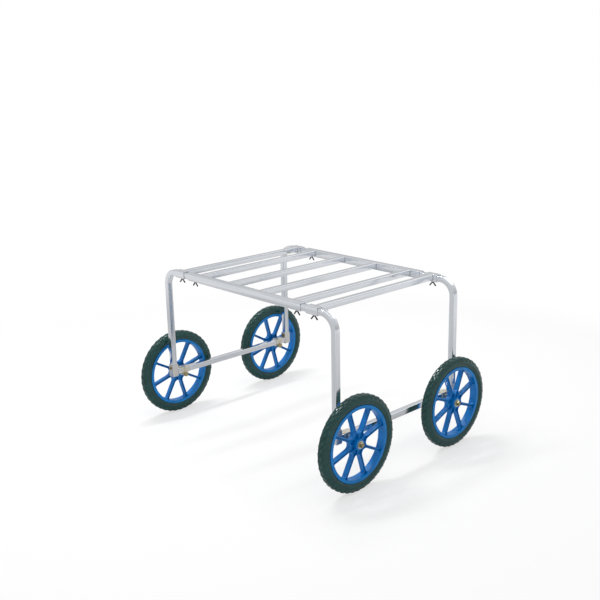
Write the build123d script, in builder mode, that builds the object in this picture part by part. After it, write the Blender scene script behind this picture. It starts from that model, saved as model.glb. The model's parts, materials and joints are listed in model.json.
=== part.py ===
# Harvest cart that straddles a planted ridge: an aluminium deck on four telescoping legs,
# two lower beams and four spoked wheels.
# X runs along the axles, Y is the way the cart rolls and Z is up. The origin is on the
# ground, under the middle of the deck. All sizes are in millimetres.
from build123d import *
import os
from math import cos, radians, sin, sqrt

os.makedirs("parts", exist_ok=True)

# Deck: two outer tubes (rails) along X, joined by square bars along Y
DECK_HEIGHT = 716.0
LEG_SPACING = 696.0
RAIL_LENGTH = 720.0
RAIL_WALL = 3.0
RAIL_CORNER = 3.0
BAR_SIZE = 25.0
BAR_WALL = 1.8
BAR_CORNER = 2.5
BAR_COUNT = 4
BAR_PITCH = 197.5

# Legs: bent square tubes, whose level arms slide in the rails
LEG_SIZE = 25.0
LEG_WALL = 2.0
LEG_CORNER = 3.0
BEND_RADIUS = 65.0
LEG_INSERTION = 190.0
SLIDE_GAP = 0.5

# End bars: each has two sleeves that slide on the legs' level arms
SLEEVE_GAP = 31.0
SLEEVE_LENGTH = 62.0
BEND_CLEARANCE = 15.0

# Clamps: wing bolts in clinch nuts under the rails and the sleeves
CLAMP_INSET = 34.0
CLAMP_THREAD = 8.0
CLAMP_TIP_GAP = 0.3
CLINCH_BODY = 11.0
CLINCH_FLANGE = 15.0
CLINCH_FLANGE_THICKNESS = 2.0
WING_BOSS = 10.5
WING_BOSS_HEIGHT = 6.0
WING_ROOT = 2.3
WING_TIP = 2.6
WING_REACH = 13.4
WING_DROP = 17.0
WING_THICKNESS = 3.4
WING_EDGE = 1.0
RAIL_WING_TURN = 3.0
SLEEVE_WING_TURN = 9.0

# Lower frames: a beam along Y with a socket at each end for a leg
BEAM_SIZE = 25.0
BEAM_WALL = 2.0
BEAM_CORNER = 2.5
BEAM_AXLE_GAP = 1.0
SOCKET_WALL = 3.0
SOCKET_FIT = 0.25
SOCKET_CORNER = 3.0
SOCKET_HEIGHT = 56.0
SOCKET_FLOOR = 3.0
SOCKET_DROP = 18.5
SOCKET_BOLT = 8.0
SOCKET_BOLT_RISE = 10.0

# Axle brackets: saddles over the beam, with V-shaped cheeks that carry the axle below it
BRACKET_SHEET = 3.0
BRACKET_WIDTH = 44.0
BRACKET_EYE = 11.5
BRACKET_BOLT = 6.0

# Axles: long bolts, with the head inside and a washer and a nut outside
AXLE_DIAMETER = 12.0
AXLE_SETBACK = 54.0
SPACER_DIAMETER = 20.0
WASHER_DIAMETER = 32.0
WASHER_THICKNESS = 2.5

# Wheels: a moulded rim, hub and channel-shaped spokes, all in one piece
WHEEL_OFFSET = 52.0
RIM_DIAMETER = 308.0
RIM_WIDTH = 34.0
RIM_LIP = 3.5
RIM_CHANNEL = 8.0
RIM_FLOOR = 5.0
HUB_DIAMETER = 46.0
HUB_LENGTH = 40.0
BUSH_DIAMETER = 20.0
SPOKE_COUNT = 8
SPOKE_WIDTH = 11.0
SPOKE_DEPTH = 20.0
SPOKE_RIB = 3.0
SPOKE_WEB = 5.0
SPOKE_HUB_FILLET = 18.0
SPOKE_RIM_FILLET = 9.0

# Angles in degrees at which the wheels stand still
WHEEL_TURNS = {"left_rear": -7.0, "left_front": -8.0, "right_rear": -6.0, "right_front": 0.0}

# Tyres: solid, with notches along both shoulders of the tread, half a step apart
TYRE_DIAMETER = 390.0
TYRE_WIDTH = 42.0
TYRE_BEAD = 3.0
TREAD_WIDTH = 37.0
TREAD_DROP = 9.5
TREAD_COUNT = 40
TREAD_NOTCH = 12.0
TREAD_NOTCH_DEPTH = 10.5
TREAD_RIB = 25.0

# Fits
RUNNING_GAP = 0.05
END_PLAY = 0.3
BOLT_CLEARANCE = 0.2

# Hexagon heads and nuts, as multiples of the thread's diameter, and the thread past a nut
HEX_ACROSS_FLATS = 1.6
HEX_HEAD_HEIGHT = 0.65
HEX_NUT_HEIGHT = 0.8
THREAD_END = 2.5

# Places of the deck and the legs
rail_bore = LEG_SIZE + 2 * SLIDE_GAP
rail_size = rail_bore + 2 * RAIL_WALL
rail_y = LEG_SPACING / 2
rail_z = DECK_HEIGHT - rail_size / 2
rail_end = RAIL_LENGTH / 2
rail_underside = rail_z - rail_size / 2
clamp_x = rail_end - CLAMP_INSET
bar_z = DECK_HEIGHT - BAR_SIZE / 2
bar_length = LEG_SPACING - rail_size
sleeve_x = rail_end + SLEEVE_GAP + SLEEVE_LENGTH / 2
leg_x = rail_end + SLEEVE_GAP + SLEEVE_LENGTH + BEND_CLEARANCE + BEND_RADIUS
arm_end = rail_end - LEG_INSERTION

# Places of the lower frames and the axles
axle_y = rail_y - AXLE_SETBACK
axle_z = TYRE_DIAMETER / 2
beam_z = axle_z + AXLE_DIAMETER / 2 + BEAM_AXLE_GAP + BEAM_SIZE / 2
beam_top = beam_z + BEAM_SIZE / 2
socket_size = LEG_SIZE + 2 * SOCKET_FIT + 2 * SOCKET_WALL
socket_base = beam_z - SOCKET_DROP
foot_z = socket_base + SOCKET_FLOOR
socket_bolt_z = beam_top + SOCKET_BOLT_RISE
beam_length = LEG_SPACING - socket_size
cheek_x = BEAM_SIZE / 2 + BRACKET_SHEET
wheel_x = leg_x + WHEEL_OFFSET
spacer_length = WHEEL_OFFSET - HUB_LENGTH / 2 - END_PLAY - cheek_x
washer_x = wheel_x + HUB_LENGTH / 2 + END_PLAY
axle_nut_x = washer_x + WASHER_THICKNESS
axle_length = axle_nut_x + HEX_NUT_HEIGHT * AXLE_DIAMETER + THREAD_END - (leg_x - cheek_x)

SIDES = {"left": -1, "right": 1}
ENDS = {"rear": -1, "front": 1}


def save(builder, name):
    """Label a finished piece and write it to its own file."""
    builder.part.label = name
    export_step(builder.part, f"parts/{name}.step")


def facing(x, y, z, direction):
    """Give the plane at a point that looks along one of the axes."""
    return Plane(origin=(x, y, z), z_dir=direction)


def tube_section(size, wall, corner):
    """Draw a hollow square with rounded corners in the current sketch."""
    bore = size - 2 * wall
    RectangleRounded(size, size, corner)
    RectangleRounded(bore, bore, max(corner - wall, wall / 4), mode=Mode.SUBTRACT)


def disc(plane, diameter, length, mode=Mode.ADD):
    """Add a round rod to the current part, or cut it out, standing on the plane."""
    with BuildSketch(plane) as outline:
        Circle(diameter / 2)
    extrude(outline.sketch, amount=length, mode=mode)


def ring(plane, diameter, bore, length):
    """Add a plain tube or a washer to the current part, standing on the plane."""
    with BuildSketch(plane) as outline:
        Circle(diameter / 2)
        Circle(bore / 2, mode=Mode.SUBTRACT)
    extrude(outline.sketch, amount=length)


def bolt(plane, thread, length):
    """Add a hexagon bolt to the current part: its head is under the plane, its shank above it."""
    with BuildSketch(plane) as head:
        RegularPolygon(HEX_ACROSS_FLATS * thread / 2, side_count=6, major_radius=False)
    extrude(head.sketch, amount=-HEX_HEAD_HEIGHT * thread)
    disc(plane, thread, length)


def nut(plane, thread):
    """Add a hexagon nut to the current part, standing on the plane."""
    with BuildSketch(plane) as outline:
        RegularPolygon(HEX_ACROSS_FLATS * thread / 2, side_count=6, major_radius=False)
        Circle(thread / 2 + RUNNING_GAP, mode=Mode.SUBTRACT)
    extrude(outline.sketch, amount=HEX_NUT_HEIGHT * thread)


def clinch_nut(x, y):
    """Add a flanged nut to the current part, pressed into the lower wall of a rail or a sleeve."""
    bore = CLAMP_THREAD + 2 * RUNNING_GAP
    flange_z = rail_underside - CLINCH_FLANGE_THICKNESS
    ring(Plane((x, y, flange_z)), CLINCH_FLANGE, bore, CLINCH_FLANGE_THICKNESS)
    ring(Plane((x, y, rail_underside)), CLINCH_BODY, bore, RAIL_WALL)


# Rails: open square tubes, with a hole for a clinch nut near each end
for end, end_sign in ENDS.items():
    with BuildPart() as rail:
        with BuildSketch(Plane.YZ.offset(-rail_end)):
            with Locations((end_sign * rail_y, rail_z)):
                tube_section(rail_size, RAIL_WALL, RAIL_CORNER)
        extrude(amount=RAIL_LENGTH)
        for side_sign in SIDES.values():
            hole = Plane((side_sign * clamp_x, end_sign * rail_y, rail_underside))
            disc(hole, CLINCH_BODY, RAIL_WALL, mode=Mode.SUBTRACT)
    save(rail, f"{end}_rail")

# Deck bars, welded between the rails
for index in range(BAR_COUNT):
    with BuildPart() as deck_bar:
        with BuildSketch(Plane.XZ.offset(-bar_length / 2)):
            with Locations(((index - (BAR_COUNT - 1) / 2) * BAR_PITCH, bar_z)):
                tube_section(BAR_SIZE, BAR_WALL, BAR_CORNER)
        extrude(amount=bar_length)
    save(deck_bar, f"deck_bar_{index + 1}")

with BuildPart() as rail_clinch_nuts:
    for side_sign in SIDES.values():
        for end_sign in ENDS.values():
            clinch_nut(side_sign * clamp_x, end_sign * rail_y)
save(rail_clinch_nuts, "rail_clinch_nuts")

# End bars: a bar between two sleeves, which are cut from the rails' tube
for side, side_sign in SIDES.items():
    bar_x = side_sign * sleeve_x
    with BuildPart() as end_bar:
        with BuildSketch(Plane.XZ.offset(-bar_length / 2)):
            with Locations((bar_x, bar_z)):
                tube_section(BAR_SIZE, BAR_WALL, BAR_CORNER)
        extrude(amount=bar_length)
    save(end_bar, f"{side}_end_bar")

    for end, end_sign in ENDS.items():
        with BuildPart() as sleeve:
            with BuildSketch(Plane.YZ.offset(bar_x - SLEEVE_LENGTH / 2)):
                with Locations((end_sign * rail_y, rail_z)):
                    tube_section(rail_size, RAIL_WALL, RAIL_CORNER)
            extrude(amount=SLEEVE_LENGTH)
            hole = Plane((bar_x, end_sign * rail_y, rail_underside))
            disc(hole, CLINCH_BODY, RAIL_WALL, mode=Mode.SUBTRACT)
        save(sleeve, f"{side}_{end}_sleeve")

    with BuildPart() as sleeve_clinch_nuts:
        for end_sign in ENDS.values():
            clinch_nut(bar_x, end_sign * rail_y)
    save(sleeve_clinch_nuts, f"{side}_sleeve_clinch_nuts")

# Wing bolts: the shank goes up through the clinch nut to just under the leg's level arm
boss_z = rail_underside - CLINCH_FLANGE_THICKNESS - END_PLAY
shank_length = rail_underside + RAIL_WALL + SLIDE_GAP - CLAMP_TIP_GAP - boss_z
clamps = {"rail": (clamp_x, RAIL_WING_TURN), "sleeve": (sleeve_x, SLEEVE_WING_TURN)}
for side, side_sign in SIDES.items():
    for end, end_sign in ENDS.items():
        for place, (bolt_x, turn) in clamps.items():
            top = Plane((side_sign * bolt_x, end_sign * rail_y, boss_z)).rotated((0, 0, turn))
            flat = Plane(top.origin, x_dir=top.x_dir, z_dir=-top.y_dir)
            with BuildPart() as wing_bolt:
                disc(top, WING_BOSS, -WING_BOSS_HEIGHT)
                for wing_sign in (-1, 1):
                    with BuildSketch(flat):
                        with Locations((wing_sign * WING_ROOT, -WING_ROOT - WING_EDGE)):
                            Circle(WING_ROOT)
                        with Locations((wing_sign * WING_REACH, -WING_DROP)):
                            Circle(WING_TIP)
                        make_hull()
                    extrude(amount=WING_THICKNESS / 2, both=True)
                disc(top, CLAMP_THREAD, shank_length)
            save(wing_bolt, f"{side}_{end}_{place}_wing_bolt")

# Leg frames: two legs in the sockets of a lower beam, with the axles under the beam
for side, side_sign in SIDES.items():
    outward = (side_sign, 0, 0)
    for end, end_sign in ENDS.items():
        leg_y = end_sign * rail_y

        with BuildPart() as leg:
            with BuildLine(Plane.XZ.offset(-leg_y)) as path:
                FilletPolyline(
                    (side_sign * arm_end, rail_z),
                    (side_sign * leg_x, rail_z),
                    (side_sign * leg_x, foot_z),
                    radius=BEND_RADIUS,
                )
            with BuildSketch(Plane(path.line @ 0, x_dir=(0, 1, 0), z_dir=path.line % 0)):
                tube_section(LEG_SIZE, LEG_WALL, LEG_CORNER)
            sweep()
            hole = facing(side_sign * leg_x, leg_y - LEG_SIZE, socket_bolt_z, (0, 1, 0))
            disc(hole, SOCKET_BOLT + 2 * BOLT_CLEARANCE, 2 * LEG_SIZE, mode=Mode.SUBTRACT)
        save(leg, f"{side}_{end}_leg")

        with BuildPart() as socket:
            with BuildSketch(Plane.XY.offset(socket_base)):
                with Locations((side_sign * leg_x, leg_y)):
                    RectangleRounded(socket_size, socket_size, SOCKET_CORNER)
            extrude(amount=SOCKET_FLOOR)
            with BuildSketch(Plane.XY.offset(foot_z)):
                with Locations((side_sign * leg_x, leg_y)):
                    tube_section(socket_size, SOCKET_WALL, SOCKET_CORNER)
            extrude(amount=SOCKET_HEIGHT - SOCKET_FLOOR)
            hole = facing(side_sign * leg_x, leg_y - socket_size, socket_bolt_z, (0, 1, 0))
            disc(hole, SOCKET_BOLT + 2 * BOLT_CLEARANCE, 2 * socket_size, mode=Mode.SUBTRACT)
        save(socket, f"{side}_{end}_socket")

        with BuildPart() as axle_bracket:
            with BuildSketch(Plane.YZ.offset(side_sign * leg_x)):
                with Locations((end_sign * axle_y, (beam_z + beam_top + BRACKET_SHEET) / 2)):
                    Rectangle(BRACKET_WIDTH, beam_top + BRACKET_SHEET - beam_z)
                with Locations((end_sign * axle_y, axle_z)):
                    Circle(BRACKET_EYE)
                make_hull()
            extrude(amount=cheek_x, both=True)
            with BuildSketch(Plane.XZ.offset(-end_sign * axle_y)):
                with Locations((side_sign * leg_x, beam_top)):
                    Rectangle(BEAM_SIZE, beam_top, align=(Align.CENTER, Align.MAX))
            extrude(amount=BRACKET_WIDTH, both=True, mode=Mode.SUBTRACT)
            inner = side_sign * (leg_x - cheek_x)
            disc(
                facing(inner, end_sign * axle_y, axle_z, outward),
                AXLE_DIAMETER + 2 * BOLT_CLEARANCE,
                2 * cheek_x,
                mode=Mode.SUBTRACT,
            )
            disc(
                facing(inner, end_sign * axle_y, beam_z, outward),
                BRACKET_BOLT + 2 * BOLT_CLEARANCE,
                2 * cheek_x,
                mode=Mode.SUBTRACT,
            )
        save(axle_bracket, f"{side}_{end}_axle_bracket")

        with BuildPart() as axle:
            bolt(facing(inner, end_sign * axle_y, axle_z, outward), AXLE_DIAMETER, axle_length)
            nut(facing(side_sign * axle_nut_x, end_sign * axle_y, axle_z, outward), AXLE_DIAMETER)
        save(axle, f"{side}_{end}_axle")

    with BuildPart() as beam:
        with BuildSketch(Plane.XZ.offset(-beam_length / 2)):
            with Locations((side_sign * leg_x, beam_z)):
                tube_section(BEAM_SIZE, BEAM_WALL, BEAM_CORNER)
        extrude(amount=beam_length)
        for end_sign in ENDS.values():
            hole = facing(side_sign * (leg_x - cheek_x), end_sign * axle_y, beam_z, outward)
            disc(hole, BRACKET_BOLT + 2 * BOLT_CLEARANCE, 2 * cheek_x, mode=Mode.SUBTRACT)
    save(beam, f"{side}_beam")

    with BuildPart() as socket_bolts:
        for end_sign in ENDS.values():
            head_y = end_sign * (rail_y + socket_size / 2)
            nut_y = end_sign * (rail_y - socket_size / 2)
            inward = (0, -end_sign, 0)
            length = socket_size + HEX_NUT_HEIGHT * SOCKET_BOLT + THREAD_END
            bolt(facing(side_sign * leg_x, head_y, socket_bolt_z, inward), SOCKET_BOLT, length)
            nut(facing(side_sign * leg_x, nut_y, socket_bolt_z, inward), SOCKET_BOLT)
    save(socket_bolts, f"{side}_socket_bolts")

    with BuildPart() as bracket_bolts:
        for end_sign in ENDS.values():
            inner = side_sign * (leg_x - cheek_x)
            outer = side_sign * (leg_x + cheek_x)
            length = 2 * cheek_x + HEX_NUT_HEIGHT * BRACKET_BOLT + THREAD_END
            bolt(facing(inner, end_sign * axle_y, beam_z, outward), BRACKET_BOLT, length)
            nut(facing(outer, end_sign * axle_y, beam_z, outward), BRACKET_BOLT)
    save(bracket_bolts, f"{side}_bracket_bolts")

    with BuildPart() as axle_washers:
        for end_sign in ENDS.values():
            bore = AXLE_DIAMETER + 2 * RUNNING_GAP
            spacer = facing(side_sign * (leg_x + cheek_x), end_sign * axle_y, axle_z, outward)
            ring(spacer, SPACER_DIAMETER, bore, spacer_length)
            washer = facing(side_sign * washer_x, end_sign * axle_y, axle_z, outward)
            ring(washer, WASHER_DIAMETER, bore, WASHER_THICKNESS)
    save(axle_washers, f"{side}_axle_washers")

# Wheel: made about the Z axis, with its middle plane at Z = 0
rim_radius = RIM_DIAMETER / 2
channel_radius = rim_radius - RIM_CHANNEL
barrel_radius = channel_radius - RIM_FLOOR
channel_half = RIM_WIDTH / 2 - RIM_LIP
spoke_half_angle = radians(180 / SPOKE_COUNT)
apex = SPOKE_WIDTH / 2 / sin(spoke_half_angle)
opening_side = sqrt(barrel_radius**2 - (SPOKE_WIDTH / 2) ** 2) - apex * cos(spoke_half_angle)
opening_corner = (apex + opening_side * cos(spoke_half_angle), opening_side * sin(spoke_half_angle))
round_apex = (SPOKE_WIDTH / 2 + SPOKE_HUB_FILLET) / sin(spoke_half_angle) - SPOKE_HUB_FILLET
rib_root = (HUB_DIAMETER + BUSH_DIAMETER) / 4

with BuildSketch() as opening:
    with BuildLine():
        Polyline((opening_corner[0], -opening_corner[1]), (apex, 0), opening_corner)
        ThreePointArc(opening_corner, (barrel_radius, 0), (opening_corner[0], -opening_corner[1]))
    make_face()
    fillet(opening.vertices().sort_by(Axis.X)[0], SPOKE_HUB_FILLET)
    fillet(opening.vertices().sort_by(Axis.X)[-2:], SPOKE_RIM_FILLET)

with BuildPart() as wheel:
    with BuildSketch(Plane.XZ) as rim_section:
        with BuildLine():
            Polyline(
                (barrel_radius, -RIM_WIDTH / 2),
                (rim_radius, -RIM_WIDTH / 2),
                (rim_radius, -channel_half),
                (channel_radius, -channel_half),
                (channel_radius, channel_half),
                (rim_radius, channel_half),
                (rim_radius, RIM_WIDTH / 2),
                (barrel_radius, RIM_WIDTH / 2),
                close=True,
            )
        make_face()
    revolve(axis=Axis.Z)
    with BuildSketch():
        Circle(HUB_DIAMETER / 2)
    extrude(amount=HUB_LENGTH / 2, both=True)
    with BuildSketch():
        Circle(channel_radius - RIM_FLOOR / 2)
    extrude(amount=SPOKE_WEB / 2, both=True)
    with BuildSketch():
        with PolarLocations(0, SPOKE_COUNT):
            add(offset(opening.sketch, SPOKE_RIB, mode=Mode.PRIVATE))
        with PolarLocations((rib_root + round_apex) / 2, SPOKE_COUNT):
            Rectangle(round_apex - rib_root, SPOKE_RIB)
        Circle(channel_radius - RIM_FLOOR / 2, mode=Mode.INTERSECT)
    extrude(amount=SPOKE_DEPTH / 2, both=True)
    with BuildSketch():
        with PolarLocations(0, SPOKE_COUNT):
            add(opening.sketch)
    extrude(amount=RIM_WIDTH, both=True, mode=Mode.SUBTRACT)
    with BuildSketch():
        Circle(BUSH_DIAMETER / 2)
    extrude(amount=HUB_LENGTH, both=True, mode=Mode.SUBTRACT)

with BuildPart() as hub_bush:
    with BuildSketch():
        Circle(BUSH_DIAMETER / 2)
        Circle(AXLE_DIAMETER / 2 + RUNNING_GAP, mode=Mode.SUBTRACT)
    extrude(amount=HUB_LENGTH / 2, both=True)

# Tyre: its foot fills the rim's channel, and its shoulders are notched all round
tyre_radius = TYRE_DIAMETER / 2
shoulder_radius = tyre_radius - TREAD_DROP
with BuildPart() as tyre:
    with BuildSketch(Plane.XZ):
        with BuildLine():
            bead = (rim_radius + TYRE_BEAD, RIM_WIDTH / 2)
            shoulder = (shoulder_radius, TREAD_WIDTH / 2)
            Polyline((channel_radius, 0), (channel_radius, channel_half), (rim_radius, channel_half), bead)
            ThreePointArc(bead, ((bead[0] + shoulder[0]) / 2, TYRE_WIDTH / 2), shoulder)
            ThreePointArc(shoulder, (tyre_radius, 0), (shoulder[0], -shoulder[1]))
            ThreePointArc(
                (shoulder[0], -shoulder[1]),
                ((bead[0] + shoulder[0]) / 2, -TYRE_WIDTH / 2),
                (bead[0], -bead[1]),
            )
            Polyline(
                (bead[0], -bead[1]),
                (rim_radius, -channel_half),
                (channel_radius, -channel_half),
                (channel_radius, 0),
            )
        make_face()
    revolve(axis=Axis.Z)
    for face_sign, first_notch in ((-1, 0), (1, 180 / TREAD_COUNT)):
        with BuildSketch(Plane.XY.offset(face_sign * TREAD_RIB / 2)):
            with PolarLocations(tyre_radius, TREAD_COUNT, start_angle=first_notch):
                Rectangle(2 * TREAD_NOTCH_DEPTH, TREAD_NOTCH)
        extrude(amount=face_sign * TYRE_WIDTH, mode=Mode.SUBTRACT)

# Each wheel, tyre and bush is set on its axle
for side, side_sign in SIDES.items():
    for end, end_sign in ENDS.items():
        turn = radians(WHEEL_TURNS[f"{side}_{end}"])
        centre = (side_sign * wheel_x, end_sign * axle_y, axle_z)
        hub = Plane(centre, x_dir=(0, cos(turn), sin(turn)), z_dir=(1, 0, 0))
        for name, piece in {"wheel": wheel, "tyre": tyre, "bush": hub_bush}.items():
            with BuildPart() as placed:
                with Locations(hub):
                    add(piece.part)
            save(placed, f"{side}_{end}_{name}")
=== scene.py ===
# %% [markdown]
# # A harvest cart, dressed for a studio picture
# The cart rolls along a planted ridge with two wheels on each side of it. Its frame is drawn aluminium
# tube, its wheels are moulded blue plastic and its tyres are solid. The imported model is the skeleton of
# this lesson: it gives every place and size, and each step puts a better surface on one kind of piece.

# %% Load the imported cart
import json
import math
import random

import bmesh
import bpy
import numpy as np
from mathutils import Matrix, Vector


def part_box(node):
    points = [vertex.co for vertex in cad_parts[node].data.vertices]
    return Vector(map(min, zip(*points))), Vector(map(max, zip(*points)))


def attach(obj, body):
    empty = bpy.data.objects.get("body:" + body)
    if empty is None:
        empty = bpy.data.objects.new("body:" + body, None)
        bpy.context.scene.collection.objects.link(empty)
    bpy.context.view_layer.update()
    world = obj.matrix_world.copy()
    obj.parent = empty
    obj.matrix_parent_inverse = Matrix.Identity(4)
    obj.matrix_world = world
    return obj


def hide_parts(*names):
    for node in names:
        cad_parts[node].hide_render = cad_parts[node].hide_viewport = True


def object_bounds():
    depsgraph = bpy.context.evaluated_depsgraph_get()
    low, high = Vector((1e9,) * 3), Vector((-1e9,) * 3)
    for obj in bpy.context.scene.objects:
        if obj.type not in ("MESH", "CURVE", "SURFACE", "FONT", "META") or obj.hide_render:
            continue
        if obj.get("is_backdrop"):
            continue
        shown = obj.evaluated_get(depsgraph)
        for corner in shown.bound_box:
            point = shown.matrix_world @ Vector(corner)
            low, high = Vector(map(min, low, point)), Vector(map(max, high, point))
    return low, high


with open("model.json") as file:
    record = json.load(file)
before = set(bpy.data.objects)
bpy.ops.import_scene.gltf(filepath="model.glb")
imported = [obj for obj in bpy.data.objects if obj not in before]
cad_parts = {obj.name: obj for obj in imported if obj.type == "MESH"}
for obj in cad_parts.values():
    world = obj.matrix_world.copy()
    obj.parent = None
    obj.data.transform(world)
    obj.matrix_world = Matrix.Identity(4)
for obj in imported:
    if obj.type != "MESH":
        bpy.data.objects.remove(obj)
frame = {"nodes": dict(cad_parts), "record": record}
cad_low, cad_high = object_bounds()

MM = 0.001
UP = Vector((0.0, 0.0, 1.0))
SIDES = {"left": -1, "right": 1}
ENDS = ("rear", "front")
print("cart of", [round(size / MM) for size in cad_high - cad_low], "mm in", len(frame["nodes"]), "nodes")

# %% [markdown]
# ## Colours and nodes
# Paint charts and screens give colours as sRGB hex values, but a shader works with linear light, so one
# function turns the first into the second. Another small function adds a node, sets its properties and
# fills its inputs with either a value or a link.
# Every finish of the cart ends in the same way: one pattern mixes two colours, one varies the gloss and one
# gives a fine relief. A last function leads the three to the shader. A noise seldom leaves the middle of its
# range, so that part of it is spread over the whole change.

# %% Helpers for finishes
NOISE_SPAN = (0.3, 0.7)


def linear(hex_colour):
    """Turn an sRGB hex colour into linear RGBA, by the curve of the sRGB standard."""
    channels = [int(hex_colour[place : place + 2], 16) / 255 for place in (1, 3, 5)]
    light = [c / 12.92 if c <= 0.04045 else ((c + 0.055) / 1.055) ** 2.4 for c in channels]
    return (*light, 1.0)


def add_node(tree, kind, inputs=None, **settings):
    """Add a node with its settings, and give each named input a value or a link."""
    made = tree.nodes.new(kind)
    for name, value in settings.items():
        setattr(made, name, value)
    for name, value in (inputs or {}).items():
        if isinstance(value, bpy.types.NodeSocket):
            tree.links.new(value, made.inputs[name])
        else:
            made.inputs[name].default_value = value
    return made


def new_finish(name, metallic, roughness, ior=None):
    """Start a material and set what is the same all over it. A metal keeps the default IOR."""
    material = bpy.data.materials.new(name)
    material.use_nodes = True
    shader = material.node_tree.nodes["Principled BSDF"]
    shader.inputs["Metallic"].default_value = metallic
    shader.inputs["Roughness"].default_value = roughness
    if ior is not None:
        shader.inputs["IOR"].default_value = ior
    return material, material.node_tree, shader


def lead_patterns(
    tree, shader, tone, colours, gloss, roughness_span, height, strength, depth, tone_span=NOISE_SPAN
):
    """Lead one pattern to the colour, one to the roughness and one to a relief of a depth in metres."""
    mixed = add_node(tree, "ShaderNodeValToRGB", {"Fac": tone})
    for stop, place, colour in zip(mixed.color_ramp.elements, tone_span, colours):
        stop.position = place
        stop.color = linear(colour)
    dulled = add_node(
        tree,
        "ShaderNodeMapRange",
        {
            "Value": gloss,
            "From Min": NOISE_SPAN[0],
            "From Max": NOISE_SPAN[1],
            "To Min": roughness_span[0],
            "To Max": roughness_span[1],
        },
    )
    relief = add_node(tree, "ShaderNodeBump", {"Height": height, "Strength": strength, "Distance": depth})
    tree.links.new(mixed.outputs["Color"], shader.inputs["Base Color"])
    tree.links.new(dulled.outputs["Result"], shader.inputs["Roughness"])
    tree.links.new(relief.outputs["Normal"], shader.inputs["Normal"])


print("hex #808080 is", round(linear("#808080")[0], 3), "in linear light")

# %% [markdown]
# ## Drawn aluminium
# The frame's tubes are pulled through a die. That leaves fine lines along the tube and a bright, slightly
# soft surface which mirrors dark things nearby as a blur. A brushed look could come from anisotropy, but
# the lines are what the eye reads, so they are a noise that is stretched along the tube. Each tube carries
# a UV map in metres, with u along it and v round it, so the lines also follow a bend.
# The real lines are about 0.3 mm apart. They are drawn several times coarser, to show in a picture, in two
# layers: broad streaks that can be seen from across a room, and faint lines for a close look.

# %% Drawn aluminium finish
STREAK_SPACING = 8 * MM
LINE_SPACING = 1.6 * MM
LINE_LENGTH = 450 * MM
LINE_SHARE = 0.3
HANDLING_MARK = 70 * MM

drawn_aluminium, tree, shader = new_finish("drawn_aluminium", metallic=1.0, roughness=0.17)
along_tube = add_node(tree, "ShaderNodeUVMap", uv_map="tube")
line_layers = []
for spacing in (STREAK_SPACING, LINE_SPACING):
    stretched = add_node(
        tree,
        "ShaderNodeMapping",
        {"Vector": along_tube.outputs["UV"], "Scale": (1 / LINE_LENGTH, 1 / spacing, 1.0)},
    )
    layer = add_node(
        tree,
        "ShaderNodeTexNoise",
        {"Vector": stretched.outputs["Vector"], "Scale": 1.0, "Detail": 1.0, "Roughness": 0.5},
        noise_dimensions="2D",
    )
    line_layers.append(layer)
streaks, die_lines = line_layers
both_lines = add_node(
    tree,
    "ShaderNodeMix",
    {"Factor": LINE_SHARE, "A": streaks.outputs["Fac"], "B": die_lines.outputs["Fac"]},
)
in_space = add_node(tree, "ShaderNodeTexCoord")
handling = add_node(
    tree,
    "ShaderNodeTexNoise",
    {"Vector": in_space.outputs["Object"], "Scale": 1 / HANDLING_MARK, "Detail": 4.0, "Roughness": 0.55},
)
lead_patterns(
    tree,
    shader,
    tone=both_lines.outputs["Result"],
    colours=("#DEE3EA", "#F8FAFD"),
    gloss=handling.outputs["Fac"],
    roughness_span=(0.13, 0.2),
    height=die_lines.outputs["Fac"],
    strength=0.1,
    depth=0.02 * MM,
)
print("drawn aluminium has streaks", STREAK_SPACING / MM, "mm and lines", LINE_SPACING / MM, "mm apart")

# %% [markdown]
# ## Cast aluminium and weld metal
# The foot sockets are sand-cast: paler, rough and grainy, with no direction. Weld beads are the same metal
# once molten, so they are a little darker and smoother, with a bloom of oxide. Both only need a grain in
# all directions, which a noise in the object's own space gives, so no UV map is used.

# %% Cast and welded finishes
GRAIN_SPAN = (0.35, 0.65)
CAST_ROUGHNESS = (0.4, 0.55)


def grainy_metal(name, pale, dark, grain, roughness_span, depth):
    """Make a metal whose tone, gloss and relief vary with one grain size in metres."""
    material, tree, shader = new_finish(name, metallic=1.0, roughness=sum(roughness_span) / 2)
    in_space = add_node(tree, "ShaderNodeTexCoord")
    grains = add_node(
        tree,
        "ShaderNodeTexNoise",
        {"Vector": in_space.outputs["Object"], "Scale": 1 / grain, "Detail": 5.0, "Roughness": 0.6},
    )
    lead_patterns(
        tree,
        shader,
        tone=grains.outputs["Fac"],
        colours=(dark, pale),
        gloss=grains.outputs["Fac"],
        roughness_span=roughness_span,
        height=grains.outputs["Fac"],
        strength=0.5,
        depth=depth,
        tone_span=GRAIN_SPAN,
    )
    return material


cast_aluminium = grainy_metal(
    "sand_cast_aluminium",
    "#F2F1ED",
    "#DFDDD8",
    grain=1.5 * MM,
    roughness_span=CAST_ROUGHNESS,
    depth=0.25 * MM,
)
weld_aluminium = grainy_metal(
    "aluminium_weld",
    "#CFD1D2",
    "#A9ACAF",
    grain=2.5 * MM,
    roughness_span=(0.28, 0.42),
    depth=0.15 * MM,
)
print("made", cast_aluminium.name, "and", weld_aluminium.name)

# %% [markdown]
# ## Plated and blackened steel
# The axle brackets and their bolts are steel with a yellow-passivated zinc coat, worn to a pale cream. The
# axles have the same coat, a little yellower, and the socket bolts a thick golden one. Washers and clinch
# nuts have the plain white zinc. The wing bolts are cast and blackened. The same grainy metal serves for all
# of them, with a wide grain for the drift of colour that such a coat always has.

# %% Plated finishes
YELLOW_COAT = {"roughness_span": (0.26, 0.42), "depth": 0.05 * MM}
WHITE_COAT = {"roughness_span": (0.24, 0.38), "depth": 0.05 * MM}

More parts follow.
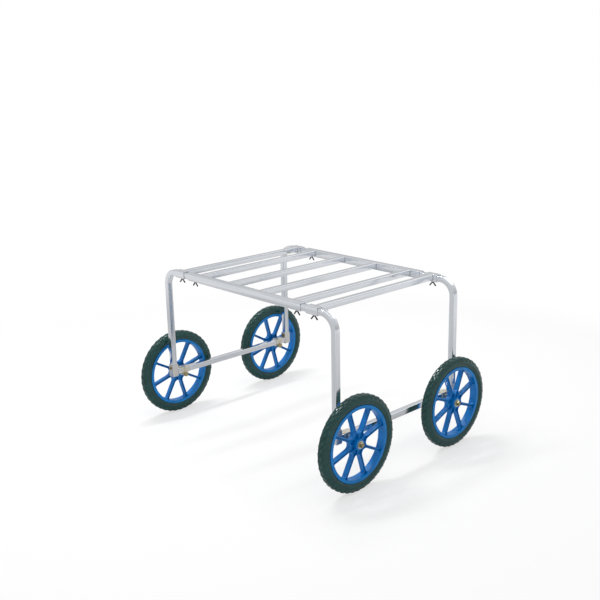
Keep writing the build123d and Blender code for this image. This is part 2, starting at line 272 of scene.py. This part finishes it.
yellow_zinc = grainy_metal("yellow_zinc_plate", "#F2EFE4", "#DBD6C2", grain=9 * MM, **YELLOW_COAT)
axle_zinc = grainy_metal("yellow_zinc_axles", "#CDC296", "#948762", grain=7 * MM, **YELLOW_COAT)
bolt_zinc = grainy_metal("yellow_zinc_bolts", "#B89C5E", "#7A6436", grain=6 * MM, **YELLOW_COAT)
bright_zinc = grainy_metal("bright_zinc_plate", "#E4E4DE", "#C2C3C0", grain=7 * MM, **WHITE_COAT)
black_oxide = grainy_metal(
    "black_oxide_iron",
    "#3A3B3E",
    "#232426",
    grain=3 * MM,
    roughness_span=CAST_ROUGHNESS,
    depth=0.2 * MM,
)
for finish in (yellow_zinc, axle_zinc, bolt_zinc, bright_zinc, black_oxide):
    print("made", finish.name)

# %% [markdown]
# ## Moulded plastic and rubber
# The wheels are injection-moulded polypropylene, coloured through: an even blue with a soft shine and a
# very fine skin. The tyres are solid moulded rubber, nearly black with a green cast, and new enough to
# shine a little, so their tread glints under a lamp. Neither is a metal, so the index of refraction sets
# the shine: about 1.49 and 1.52. The skin is drawn at about 1 mm, coarser than the real one, so that it
# shows.

# %% Moulded finishes
def moulded(name, main, second, patch, grain, roughness_span, ior, depth, shine=0.5):
    """Make a moulded plastic or rubber: two near colours in wide patches, with a fine skin."""
    material, tree, shader = new_finish(name, metallic=0.0, roughness=sum(roughness_span) / 2, ior=ior)
    shader.inputs["Specular IOR Level"].default_value = shine
    in_space = add_node(tree, "ShaderNodeTexCoord")
    patches = add_node(
        tree,
        "ShaderNodeTexNoise",
        {"Vector": in_space.outputs["Object"], "Scale": 1 / patch, "Detail": 3.0, "Roughness": 0.5},
    )
    moulded_skin = add_node(
        tree,
        "ShaderNodeTexNoise",
        {"Vector": in_space.outputs["Object"], "Scale": 1 / grain, "Detail": 2.0, "Roughness": 0.5},
    )
    lead_patterns(
        tree,
        shader,
        tone=patches.outputs["Fac"],
        colours=(second, main),
        gloss=patches.outputs["Fac"],
        roughness_span=roughness_span,
        height=moulded_skin.outputs["Fac"],
        strength=0.4,
        depth=depth,
    )
    return material


blue_plastic = moulded(
    "moulded_polypropylene",
    "#057FCE",
    "#0470B8",
    patch=40 * MM,
    grain=1.0 * MM,
    roughness_span=(0.25, 0.35),
    ior=1.49,
    depth=0.03 * MM,
    shine=0.3,
)
tyre_rubber = moulded(
    "moulded_rubber",
    "#0D4644",
    "#0A3B39",
    patch=30 * MM,
    grain=1.2 * MM,
    roughness_span=(0.12, 0.18),
    ior=1.52,
    depth=0.02 * MM,
)
bush_nylon = moulded(
    "moulded_nylon",
    "#D8D5CA",
    "#CDC9BD",
    patch=10 * MM,
    grain=0.8 * MM,
    roughness_span=(0.4, 0.5),
    ior=1.53,
    depth=0.03 * MM,
)
print("made", blue_plastic.name, tyre_rubber.name, "and", bush_nylon.name)

# %% [markdown]
# ## Setting a piece on the cart
# Every new piece stands for one or more nodes of the imported model. It moves with that node's body, and
# those nodes are hidden. One function does both and gives the piece its finish and its smooth shading.
# Faces that meet at a sharp angle keep their edge.

# %% Helper that places a piece
node_bodies = {node: body for body, nodes in frame["record"]["behaviour"]["bodies"].items() for node in nodes}
EDGE_ANGLE = math.radians(35)


def set_piece(name, mesh, finish, nodes=(), like=None):
    """Put a mesh on the body of the nodes that it stands for, or of the node that it is like."""
    mesh.materials.clear()
    mesh.materials.append(finish)
    mesh.shade_smooth()
    mesh.set_sharp_from_angle(angle=EDGE_ANGLE)
    piece = bpy.data.objects.new(name, mesh)
    bpy.context.scene.collection.objects.link(piece)
    model = nodes[0] if nodes else like
    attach(piece, node_bodies[model])
    if nodes:
        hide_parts(*nodes)
    return piece


# %% [markdown]
# ## Joining rings into a skin
# A tube, a weld bead and a tyre are all a row of closed rings. One function joins the rings with quads
# and writes the UV map in metres that the drawn lines follow. If the last ring is joined to the first,
# the skin is closed, so a hollow tube goes out along its outer wall and comes back along its bore.

# %% Helper that joins rings
def skin(name, rings):
    """Join a closed row of closed rings with quads, with a UV map of metres along and round."""
    rings = np.array(rings, float)
    row_count, ring_count = rings.shape[:2]
    rows, columns = np.meshgrid(np.arange(row_count), np.arange(ring_count), indexing="ij")
    next_rows = (rows + 1) % row_count
    next_columns = (columns + 1) % ring_count
    faces = np.stack(
        [
            rows * ring_count + columns,
            rows * ring_count + next_columns,
            next_rows * ring_count + next_columns,
            next_rows * ring_count + columns,
        ],
        axis=-1,
    ).reshape(-1, 4)
    mesh = bpy.data.meshes.new(name)
    mesh.from_pydata(rings.reshape(-1, 3).tolist(), [], faces.tolist())
    steps_along = np.linalg.norm(np.roll(rings, -1, axis=0) - rings, axis=2).mean(axis=1)
    steps_round = np.linalg.norm(np.roll(rings, -1, axis=1) - rings, axis=2).mean(axis=0)
    along = np.concatenate([[0], np.cumsum(steps_along)])
    around = np.concatenate([[0], np.cumsum(steps_round)])
    corners = [(0, 0), (0, 1), (1, 1), (1, 0)]
    uv = np.stack(
        [np.stack([along[rows + down], around[columns + right]], axis=-1) for down, right in corners], axis=2
    )
    layer = mesh.uv_layers.new(name="tube")
    layer.data.foreach_set("uv", uv.reshape(-1).astype(np.float32))
    mesh.update()
    return mesh


def rounded_square(size, corner, corner_steps=6):
    """Give the points round a square with rounded corners, in its own plane."""
    inner = size / 2 - corner
    points = []
    for quarter, (x_sign, y_sign) in enumerate(((1, 1), (-1, 1), (-1, -1), (1, -1))):
        for step in range(corner_steps + 1):
            angle = math.radians(90 * (quarter + step / corner_steps))
            x = x_sign * inner + corner * math.cos(angle)
            y = y_sign * inner + corner * math.sin(angle)
            points.append((x, y))
    return points


print("a rounded square of 25 mm has", len(rounded_square(25 * MM, 3 * MM)), "points")

# %% [markdown]
# ## Tubes
# The rails, bars, sleeves, beams and legs are hollow square tubes with rounded corners. Their cut ends
# are broken with a small chamfer, because a saw's edge would cut the hand. A tube's path is a list of
# places with the two directions of its section, so a straight tube and a bent leg come from one function.

# %% Helper that makes a tube
END_CHAMFER = 0.5 * MM


def tube_mesh(name, path, size, wall, corner):
    """Sweep a hollow rounded square along a path of (place, across, up) stations."""

    def ring(station, section_size, section_corner):
        place, across, up = station
        return [place + across * x + up * y for x, y in rounded_square(section_size, section_corner)]

    def moved(station, towards):
        step = (towards[0] - station[0]).normalized() * END_CHAMFER
        return (station[0] + step, station[1], station[2])

    first_step = moved(path[0], path[1])
    last_step = moved(path[-1], path[-2])
    body = [first_step, *path[1:-1], last_step]
    bore = size - 2 * wall
    bore_corner = max(corner - wall, wall / 4)
    cut = 2 * END_CHAMFER
    rings = [ring(path[0], size - cut, corner)]
    rings += [ring(station, size, corner) for station in body]
    rings += [ring(path[-1], size - cut, corner), ring(path[-1], bore + cut, bore_corner + END_CHAMFER)]
    rings += [ring(station, bore, bore_corner) for station in reversed(body)]
    rings += [ring(path[0], bore + cut, bore_corner + END_CHAMFER)]
    return skin(name, rings)


def straight_tube(node, wall, corner, finish):
    """Make the tube of a straight node from its box: its longest side is its axis."""
    low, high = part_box(node)
    size = high - low
    axis = max(range(3), key=lambda index: size[index])
    direction = Vector([1.0 if index == axis else 0.0 for index in range(3)])
    across = UP.cross(direction)
    middle = (low + high) / 2
    half = direction * size[axis] / 2
    path = [(middle - half, across, UP), (middle + half, across, UP)]
    mesh = tube_mesh(node, path, size.z, wall, corner)
    set_piece(node + "_tube", mesh, finish, [node])


RAIL_WALL, RAIL_CORNER = 3 * MM, 3 * MM
BAR_WALL, BAR_CORNER = 1.8 * MM, 2.5 * MM
BEAM_WALL = 2 * MM
for node in [f"{end}_rail" for end in ENDS] + [f"{side}_{end}_sleeve" for side in SIDES for end in ENDS]:
    straight_tube(node, RAIL_WALL, RAIL_CORNER, drawn_aluminium)
deck_bars = sorted(node for node in frame["nodes"] if node.startswith("deck_bar"))
for node in deck_bars + [f"{side}_end_bar" for side in SIDES]:
    straight_tube(node, BAR_WALL, BAR_CORNER, drawn_aluminium)
for side in SIDES:
    straight_tube(f"{side}_beam", BEAM_WALL, BAR_CORNER, drawn_aluminium)

# %% [markdown]
# ## Bent legs
# Each leg is one tube: a level arm that slides in the rail, a bend and a post that stands in its socket.
# The bend is an arc with enough stations that its outline is smooth. Sizes come from the node's box, and
# only the bend's radius is written here.

# %% Legs
LEG_WALL, LEG_CORNER = 2 * MM, 3 * MM
BEND_RADIUS = 65 * MM
BEND_STEPS = 28

for side, side_sign in SIDES.items():
    for end in ENDS:
        node = f"{side}_{end}_leg"
        low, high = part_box(node)
        leg_size = high.y - low.y
        y = (low.y + high.y) / 2
        arm_z = high.z - leg_size / 2
        arm_end, post_x = (low.x, high.x - leg_size / 2) if side_sign > 0 else (high.x, low.x + leg_size / 2)
        across = Vector((0.0, side_sign, 0.0))
        path = [(Vector((arm_end, y, arm_z)), across, UP)]
        centre = Vector((post_x - side_sign * BEND_RADIUS, y, arm_z - BEND_RADIUS))
        for step in range(BEND_STEPS + 1):
            turn = math.pi / 2 * step / BEND_STEPS
            outward = Vector((side_sign * math.sin(turn), 0.0, math.cos(turn)))
            path.append((centre + outward * BEND_RADIUS, across, outward))
        path.append((Vector((post_x, y, low.z)), across, Vector((side_sign, 0.0, 0.0))))
        mesh = tube_mesh(node, path, leg_size, LEG_WALL, LEG_CORNER)
        set_piece(node + "_tube", mesh, drawn_aluminium, [node])
print("legs bend on a radius of", BEND_RADIUS / MM, "mm")

# %% [markdown]
# ## Weld beads
# The bars are welded to the rails and the sleeves, and the beams to the foot sockets. A bead is laid in short
# overlapping puddles, like a row of fallen coins. It is a thin ring swept round the bar's outline, whose
# thickness swells at the start of each puddle and falls to its end. A seeded random number stands for the
# welder's hand, so the beads come out alike each time. On top of the deck the bead is kept low, because
# boxes slide there.

# %% Weld beads
BEAD_RADIUS = 2.3 * MM
BEAD_SIDES = 10
PUDDLE = 2.6 * MM
PUDDLE_POINTS = 4
PUDDLE_SWELL = 1.06
PUDDLE_FALL = 0.24
UNSTEADY_HAND = 0.03
TOP_DRESSING = 2.6 * MM
FACING_UP = 0.5
draw = random.Random(7)


def bead_mesh(name, places, size, corner, top_drop):
    """Sweep a rippled bead round a bar of that size at each (centre, direction) in the list."""
    built = bmesh.new()
    for centre, direction in places:
        across = UP.cross(direction)
        outline = [centre + across * x + UP * y for x, y in rounded_square(size, corner, corner_steps=4)]
        fine = []
        for start, stop in zip(outline, outline[1:] + outline[:1]):
            steps = max(1, round((stop - start).length / (PUDDLE / PUDDLE_POINTS)))
            fine += [start.lerp(stop, step / steps) for step in range(steps)]
        rings = []
        phase = draw.random()
        for index, point in enumerate(fine):
            side_step = (fine[(index + 1) % len(fine)] - fine[index - 1]).normalized()
            outward = side_step.cross(direction)
            if outward.dot(point - centre) < 0:
                outward.negate()
            puddle = (index / PUDDLE_POINTS + phase) % 1.0
            unsteady = draw.uniform(1 - UNSTEADY_HAND, 1 + UNSTEADY_HAND)
            radius = BEAD_RADIUS * (PUDDLE_SWELL - PUDDLE_FALL * puddle) * unsteady
            heart = point - UP * (top_drop if outward.z > FACING_UP else 0.0)
            ring = []
            for step in range(BEAD_SIDES):
                angle = math.tau * step / BEAD_SIDES
                ring.append(heart + (outward * math.cos(angle) + direction * math.sin(angle)) * radius)
            rings.append(ring)
        piece = skin(name, rings)
        built.from_mesh(piece)
        bpy.data.meshes.remove(piece)
    mesh = bpy.data.meshes.new(name)
    bmesh.ops.recalc_face_normals(built, faces=built.faces)
    built.to_mesh(mesh)
    built.free()
    return mesh


def ends_of(node):
    """Give the centres of a bar's two ends, with the direction out of each."""
    low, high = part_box(node)
    middle = (low + high) / 2
    return [
        (Vector((middle.x, low.y, middle.z)), Vector((0.0, -1.0, 0.0))),
        (Vector((middle.x, high.y, middle.z)), Vector((0.0, 1.0, 0.0))),
    ]


def weld_bars(name, bars, top_drop):
    """Lay a bead round both ends of each bar, as one piece that moves with the first bar."""
    low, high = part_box(bars[0])
    places = [place for bar in bars for place in ends_of(bar)]
    mesh = bead_mesh(name, places, high.z - low.z, BAR_CORNER, top_drop)
    set_piece(name, mesh, weld_aluminium, like=bars[0])
    print(name, "has", len(places), "beads")


weld_bars("deck_welds", deck_bars, TOP_DRESSING)
for side in SIDES:
    weld_bars(f"{side}_end_bar_welds", [f"{side}_end_bar"], TOP_DRESSING)
    weld_bars(f"{side}_beam_welds", [f"{side}_beam"], 0.0)

# %% [markdown]
# ## Rounded edges on the small parts and the wheels
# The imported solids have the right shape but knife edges, and a real edge is always rounded a little and
# catches the light. A copy of each solid is cleaned first: the triangles of its flat faces are joined, and
# the facets of its curves stay. A bevel then rounds every edge that is sharper than a facet.

# %% Small parts and wheels
SAME_POINT = 0.001 * MM
FLAT = math.radians(0.5)
EDGE_STEPS = 3
CAST_EDGE = 1.2 * MM
WING_EDGE = 1.1 * MM
MOULDED_EDGE = 0.7 * MM
PRESSED_EDGE = 0.6 * MM
BOLT_EDGE = 0.5 * MM
SMALL_EDGE = 0.4 * MM


def rounded_copy(node, finish, edge):
    """Copy a node's solid, join its flat triangles and round its sharp edges."""
    solid = bmesh.new()
    solid.from_mesh(frame["nodes"][node].data)
    bmesh.ops.remove_doubles(solid, verts=solid.verts, dist=SAME_POINT)
    bmesh.ops.dissolve_limit(solid, angle_limit=FLAT, verts=solid.verts, edges=solid.edges)
    mesh = bpy.data.meshes.new(node)
    solid.to_mesh(mesh)
    solid.free()
    piece = set_piece(node + "_rounded", mesh, finish, [node])
    bevel = piece.modifiers.new("rounded edges", "BEVEL")
    bevel.width = edge
    bevel.segments = EDGE_STEPS
    bevel.limit_method = "ANGLE"
    bevel.angle_limit = EDGE_ANGLE
    bevel.harden_normals = True


for side in SIDES:
    for end in ENDS:
        rounded_copy(f"{side}_{end}_socket", cast_aluminium, CAST_EDGE)
        rounded_copy(f"{side}_{end}_axle_bracket", yellow_zinc, PRESSED_EDGE)
        rounded_copy(f"{side}_{end}_axle", axle_zinc, BOLT_EDGE)
        rounded_copy(f"{side}_{end}_wheel", blue_plastic, MOULDED_EDGE)
        rounded_copy(f"{side}_{end}_bush", bush_nylon, SMALL_EDGE)
        for place in ("rail", "sleeve"):
            rounded_copy(f"{side}_{end}_{place}_wing_bolt", black_oxide, WING_EDGE)
    rounded_copy(f"{side}_socket_bolts", bolt_zinc, BOLT_EDGE)
    rounded_copy(f"{side}_bracket_bolts", yellow_zinc, SMALL_EDGE)
    rounded_copy(f"{side}_axle_washers", bright_zinc, SMALL_EDGE)
    rounded_copy(f"{side}_sleeve_clinch_nuts", bright_zinc, SMALL_EDGE)
rounded_copy("rail_clinch_nuts", bright_zinc, SMALL_EDGE)

# %% [markdown]
# ## Tyres
# A solid tyre has a foot in the rim's channel, smooth sides with two fine rings from the mould, and a tread
# of diamonds. The section is drawn once, from the foot over the crown and back, and turned round the axle.
# Each point then sinks by the depth of the groove at its place, which is a formula of the angle and of the
# distance across the tread. The place is 0 on the crown, 1 at the shoulder and 2 at the foot. The
# crown's curve is a power of that distance, so it is nearly flat in the middle and turns at the shoulder.

# %% Tyre section
TREAD_WIDTH = 37 * MM
TREAD_DROP = 9.5 * MM
CROWN_POWER = 5
RIM_LIP_DIAMETER = 308 * MM
RIM_WIDTH = 34 * MM
RIM_CHANNEL = 8 * MM
RIM_LIP = 3.5 * MM
BEAD_STEP = 3 * MM
TREAD_POINTS = 69
SIDE_POINTS = 8
MOULD_RINGS = (0.2, 0.42)
RING_HALF = 0.02
RING_HEIGHT = 0.6 * MM

tyre_low, tyre_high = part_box("right_rear_tyre")
tyre_radius = (tyre_high.z - tyre_low.z) / 2
tyre_half = (tyre_high.x - tyre_low.x) / 2
rim_radius = RIM_LIP_DIAMETER / 2


def tyre_side():
    """List one side's points from the foot to the shoulder as (across, from the axle, place)."""
    shoulder = (TREAD_WIDTH / 2, tyre_radius - TREAD_DROP)
    bead = (RIM_WIDTH / 2, rim_radius + BEAD_STEP)
    channel = RIM_WIDTH / 2 - RIM_LIP
    points = [(channel, rim_radius - RIM_CHANNEL, 2.0), (channel, rim_radius, 2.0), (*bead, 2.0)]
    shares = [step / (SIDE_POINTS + 1) for step in range(1, SIDE_POINTS + 1)]
    on_rings = []
    for ring in MOULD_RINGS:
        shares += [ring - 2 * RING_HALF, ring + 2 * RING_HALF]
        on_rings += [ring - RING_HALF, ring + RING_HALF]
    for share in sorted(shares + on_rings):
        across = bead[0] + (shoulder[0] - bead[0]) * share
        bulge = (tyre_half - (bead[0] + shoulder[0]) / 2) * math.sin(math.pi * share)
        proud = RING_HEIGHT if share in on_rings else 0.0
        points.append((across + bulge + proud, bead[1] + (shoulder[1] - bead[1]) * share, 2 - share))
    return points


right_side = tyre_side()
left_side = [(-across, radius, -place) for across, radius, place in reversed(right_side)]
tread = []
for step in range(TREAD_POINTS):
    share = 1 - 2 * step / (TREAD_POINTS - 1)
    tread.append((TREAD_WIDTH / 2 * share, tyre_radius - TREAD_DROP * abs(share) ** CROWN_POWER, share))
section = right_side + tread + left_side
print("tyre section of", len(section), "points")

# %% [markdown]
# The tread's pattern repeats a whole number of times round the tyre, so it closes without a seam. Two rows
# of diamonds cover the crown, one row half a step ahead of the other. Slanted grooves in two directions cut
# them out, like the lines of a net. Between the diamonds' outer tips the shoulder lies lower, and that step
# runs out on the side, which gives the tyre its toothed outline.

# %% Tyre tread
TREAD_COUNT = 40
STEPS_PER_LUG = 28
ROW_MIDDLE = 0.35
DIAMOND_HALF = 0.7
GROOVE_HALF = 0.07
GROOVE_WALL = 0.03
CROWN_GROOVE = 2.4 * MM
DIAMOND_DOME = 0.7 * MM
SHOULDER_STEP = 1.2 * MM
STEP_WALL = 0.05
RUN_OUT = 1.45
turn_count = TREAD_COUNT * STEPS_PER_LUG


def smooth_step(value, low, high):
    """Rise smoothly from 0 at low to 1 at high."""
    share = np.clip((value - low) / (high - low), 0.0, 1.0)
    return share * share * (3 - 2 * share)


def groove_depth(turn, place):
    """Give the tread's depth at one place across the tyre. Turns are in lugs, so 0.5 is half a lug."""
    reach = abs(place)
    row_ahead = 0.5 * (place < 0)
    to_middle = np.abs((turn + row_ahead + 0.5) % 1.0 - 0.5)
    from_tip = 0.5 - (reach - ROW_MIDDLE) * 0.5 / DIAMOND_HALF - to_middle
    slant = 0.5 * (place - ROW_MIDDLE) / DIAMOND_HALF
    to_lines = [np.abs((turn + sign * slant) % 1.0 - 0.5) for sign in (-1, 1)]
    groove = 1 - smooth_step(np.minimum(*to_lines), GROOVE_HALF - GROOVE_WALL, GROOVE_HALF + GROOVE_WALL)
    dome = sum((1 - 2 * to_line) ** 2 for to_line in to_lines)
    step = 1 - smooth_step(from_tip, -STEP_WALL, STEP_WALL)
    run_out = 1 - smooth_step(reach, 1.0, RUN_OUT)
    return (np.maximum(groove * CROWN_GROOVE, step * SHOULDER_STEP) + dome * DIAMOND_DOME) * run_out


def lean(place):
    """Give the angle at which the tread's surface leans outwards at a place."""
    steepest = CROWN_POWER * TREAD_DROP / (TREAD_WIDTH / 2)
    return math.copysign(math.atan(steepest * min(abs(place), 1.0) ** (CROWN_POWER - 1)), place)


turns = np.arange(turn_count) / STEPS_PER_LUG
angles = turns / TREAD_COUNT * math.tau
tyre_rings = np.zeros((len(section), turn_count, 3))
for index, (across, radius, place) in enumerate(section):
    depth = groove_depth(turns, place)
    from_axle = radius - depth * math.cos(lean(place))
    tyre_rings[index, :, 0] = across - depth * math.sin(lean(place))
    tyre_rings[index, :, 1] = from_axle * np.cos(angles)
    tyre_rings[index, :, 2] = from_axle * np.sin(angles)
tyre_mesh = skin("tyre", tyre_rings)
turned = bmesh.new()
turned.from_mesh(tyre_mesh)
bmesh.ops.recalc_face_normals(turned, faces=turned.faces)
turned.to_mesh(tyre_mesh)
turned.free()
for side in SIDES:
    for end in ENDS:
        node = f"{side}_{end}_tyre"
        low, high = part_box(node)
        mesh = tyre_mesh.copy()
        mesh.transform(Matrix.Translation((low + high) / 2))
        set_piece(node + "_moulded", mesh, tyre_rubber, [node])
print("each tyre has", len(tyre_mesh.polygons), "faces")

# %% [markdown]
# ## Floor, light and camera
# The picture is a plain studio one: a pale floor that runs into a white background, and soft light. The far
# floor and the world show white to the camera, so that no horizon shows. Near the cart the camera sees the
# lit paper through a share of that white, which leaves a faint shadow.
# Bright metal shows little but what it mirrors, and in an all-white room its faces would run together. A
# real studio is darker close to the object and low on its walls. So mirrors see a floor that is greyer near
# the cart and walls that are greyer than the ceiling, and that shades the tubes. Floor and world both need
# to know who looks at them, which one function tells. Distances are in metres: those of the white from the
# cart's middle, those of the mirrored floor from the middle of its shade.

# %% Floor
WHITE = (1.0, 1.0, 1.0, 1.0)
FLOOR_SIZE = 40.0
SHADOW_REACH = 1.3
WHITE_REACH = 2.6
NEAR_WHITE = 0.6
SHADE_MIDDLE = (-0.15, -0.15, 0.0)
MIRROR_NEAR, MIRROR_FAR = 1.55, 2.85
MIRRORED_NEAR, MIRRORED_FAR = 0.3, 0.8


def seen_white(tree, mirrored):
    """Give 1 where the camera, a mirror or glass looks, and the strength of the white that it sees."""
    path = add_node(tree, "ShaderNodeLightPath")
    seen = add_node(
        tree,
        "ShaderNodeMath",
        {0: path.outputs["Is Camera Ray"], 1: path.outputs["Is Glossy Ray"]},
        operation="MAXIMUM",
    )
    seen_through = add_node(
        tree,
        "ShaderNodeMath",
        {0: seen.outputs[0], 1: path.outputs["Is Transmission Ray"]},
        operation="MAXIMUM",
    )
    strength = add_node(
        tree, "ShaderNodeMix", {"Factor": path.outputs["Is Glossy Ray"], "A": 1.0, "B": mirrored}
    )
    return seen_through.outputs[0], strength.outputs["Result"]


floor_mesh = bpy.data.meshes.new("floor")
half = FLOOR_SIZE / 2
floor_corners = [(-half, -half, 0), (half, -half, 0), (half, half, 0), (-half, half, 0)]
floor_mesh.from_pydata(floor_corners, [], [(0, 1, 2, 3)])
floor = bpy.data.objects.new("floor", floor_mesh)
bpy.context.scene.collection.objects.link(floor)
floor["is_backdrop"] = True
floor_paper, tree, shader = new_finish("studio_paper", metallic=0.0, roughness=0.9, ior=1.45)
shader.inputs["Base Color"].default_value = linear("#F4F4F4")
shader.inputs["Specular IOR Level"].default_value = 0.0
in_space = add_node(tree, "ShaderNodeTexCoord")
distance = add_node(tree, "ShaderNodeVectorMath", {0: in_space.outputs["Object"]}, operation="LENGTH")
far = add_node(
    tree,
    "ShaderNodeMapRange",
    {"Value": distance.outputs["Value"], "From Min": SHADOW_REACH, "From Max": WHITE_REACH},
    interpolation_type="SMOOTHSTEP",
)
whiteness = add_node(tree, "ShaderNodeMath", {0: far.outputs["Result"], 1: NEAR_WHITE}, operation="MAXIMUM")
from_shade = add_node(
    tree, "ShaderNodeVectorMath", {0: in_space.outputs["Object"], 1: SHADE_MIDDLE}, operation="DISTANCE"
)
mirrored = add_node(
    tree,
    "ShaderNodeMapRange",
    {
        "Value": from_shade.outputs["Value"],
        "From Min": MIRROR_NEAR,
        "From Max": MIRROR_FAR,
        "To Min": MIRRORED_NEAR,
        "To Max": MIRRORED_FAR,
    },
)
seen, strength = seen_white(tree, mirrored.outputs["Result"])
share = add_node(tree, "ShaderNodeMath", {0: whiteness.outputs[0], 1: seen}, operation="MULTIPLY")
white = add_node(tree, "ShaderNodeEmission", {"Color": WHITE, "Strength": strength})
mixed = add_node(
    tree,
    "ShaderNodeMixShader",
    {0: share.outputs[0], 1: shader.outputs["BSDF"], 2: white.outputs["Emission"]},
)
tree.links.new(mixed.outputs["Shader"], tree.nodes["Material Output"].inputs["Surface"])
floor_mesh.materials.append(floor_paper)
print("floor of", FLOOR_SIZE, "m, white beyond", WHITE_REACH, "m")

# %% [markdown]
# The world stands for the studio's walls and ceiling. It is an even, weak light on the cart, plain white to
# the camera, and to a mirror it rises from the grey of the walls to the brighter ceiling. The height at
# which a mirror looks is the upward part of its line of sight, from 0 at the horizon to 1 straight up.

# %% World
AMBIENT = 0.6
MIRRORED_CEILING = 0.7
MIRRORED_WALL = 0.46
WALL_HEIGHT = 0.45

world = bpy.data.worlds.new("studio")
bpy.context.scene.world = world
world.use_nodes = True
tree = world.node_tree
ambient = tree.nodes["Background"]
ambient.inputs["Color"].default_value = WHITE
ambient.inputs["Strength"].default_value = AMBIENT
sight = add_node(tree, "ShaderNodeTexCoord")
height = add_node(
    tree, "ShaderNodeVectorMath", {0: sight.outputs["Generated"], 1: UP}, operation="DOT_PRODUCT"
)
mirrored = add_node(
    tree,
    "ShaderNodeMapRange",
    {
        "Value": height.outputs["Value"],
        "From Max": WALL_HEIGHT,
        "To Min": MIRRORED_WALL,
        "To Max": MIRRORED_CEILING,
    },
)
seen, strength = seen_white(tree, mirrored.outputs["Result"])
white = add_node(tree, "ShaderNodeBackground", {"Color": WHITE, "Strength": strength})
mixed = add_node(
    tree,
    "ShaderNodeMixShader",
    {0: seen, 1: ambient.outputs["Background"], 2: white.outputs["Background"]},
)
tree.links.new(mixed.outputs["Shader"], tree.nodes["World Output"].inputs["Surface"])
print("mirrors see walls of", MIRRORED_WALL, "below a ceiling of", MIRRORED_CEILING)

# %% [markdown]
# Three boxes give the light. A large one hangs above. One stands behind and lights the outer faces of the
# legs' bends. A narrow strip on the left puts the glints on the tread. It could hang further left, but there
# the tubes' rounded edges would mirror it, and each would show as a hard white line. Places and sizes are in
# metres, powers in watts.

# %% Soft boxes
def soft_box(name, place, aim, sizes, power):
    """Hang an area light of a length and a width that faces a point."""
    lamp = bpy.data.lights.new(name, "AREA")
    lamp.shape = "RECTANGLE"
    lamp.size, lamp.size_y = sizes
    lamp.energy = power
    box = bpy.data.objects.new(name, lamp)
    box.location = place
    box.rotation_euler = (Vector(aim) - Vector(place)).to_track_quat("-Z", "Y").to_euler()
    bpy.context.scene.collection.objects.link(box)


middle = (cad_low + cad_high) / 2
near_middle = (0.0, -0.35, middle.z)
soft_box("top_box", place=(0.3, -0.5, 3.8), aim=middle, sizes=(3.6, 3.6), power=28)
soft_box("back_box", place=(0.3, 2.9, 3.1), aim=middle, sizes=(3.2, 1.5), power=11)
soft_box("left_strip", place=(-1.3, -0.1, 3.6), aim=near_middle, sizes=(2.2, 0.24), power=68)
print("soft boxes:", [lamp.name for lamp in bpy.data.lights])

# %% [markdown]
# The camera stands where the picture was taken from. Its place and angles come from fitting the wheels'
# ellipses and the tubes' edges in the picture, and it needs no shift.

# %% Camera
SENSOR = 36.0
PICTURE_SIDE = 600
FOCAL_PIXELS = 886.5
CAMERA_PLACE = Vector((2.737, -2.535, 1.606))
AZIMUTH, ELEVATION, ROLL = 47.57, 15.22, -1.22

lens = bpy.data.cameras.new("studio_camera")
lens.sensor_width = SENSOR
lens.lens = SENSOR * FOCAL_PIXELS / PICTURE_SIDE
camera = bpy.data.objects.new("studio_camera", lens)
bpy.context.scene.collection.objects.link(camera)
bpy.context.scene.camera = camera
azimuth, elevation = math.radians(AZIMUTH), math.radians(ELEVATION)
ahead = Vector(
    (-math.sin(azimuth) * math.cos(elevation), math.cos(azimuth) * math.cos(elevation), -math.sin(elevation))
)
turn = ahead.to_track_quat("-Z", "Y").to_matrix() @ Matrix.Rotation(math.radians(ROLL), 3, "Z")
camera.matrix_world = Matrix.Translation(CAMERA_PLACE) @ turn.to_4x4()
bpy.context.scene.view_settings.view_transform = "Standard"
print("lens of", round(lens.lens, 1), "mm")

# %% [markdown]
# The dressed cart has to stay as large as the imported one. The imported box was measured at the start,
# and the last line prints how far the dressed box differs from it. The last line
# checks the frame and writes which piece moves with which body.

# %% Finish
low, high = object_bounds()
print("size difference in mm:", [round((a - b) / MM, 2) for a, b in zip(high - low, cad_high - cad_low)])
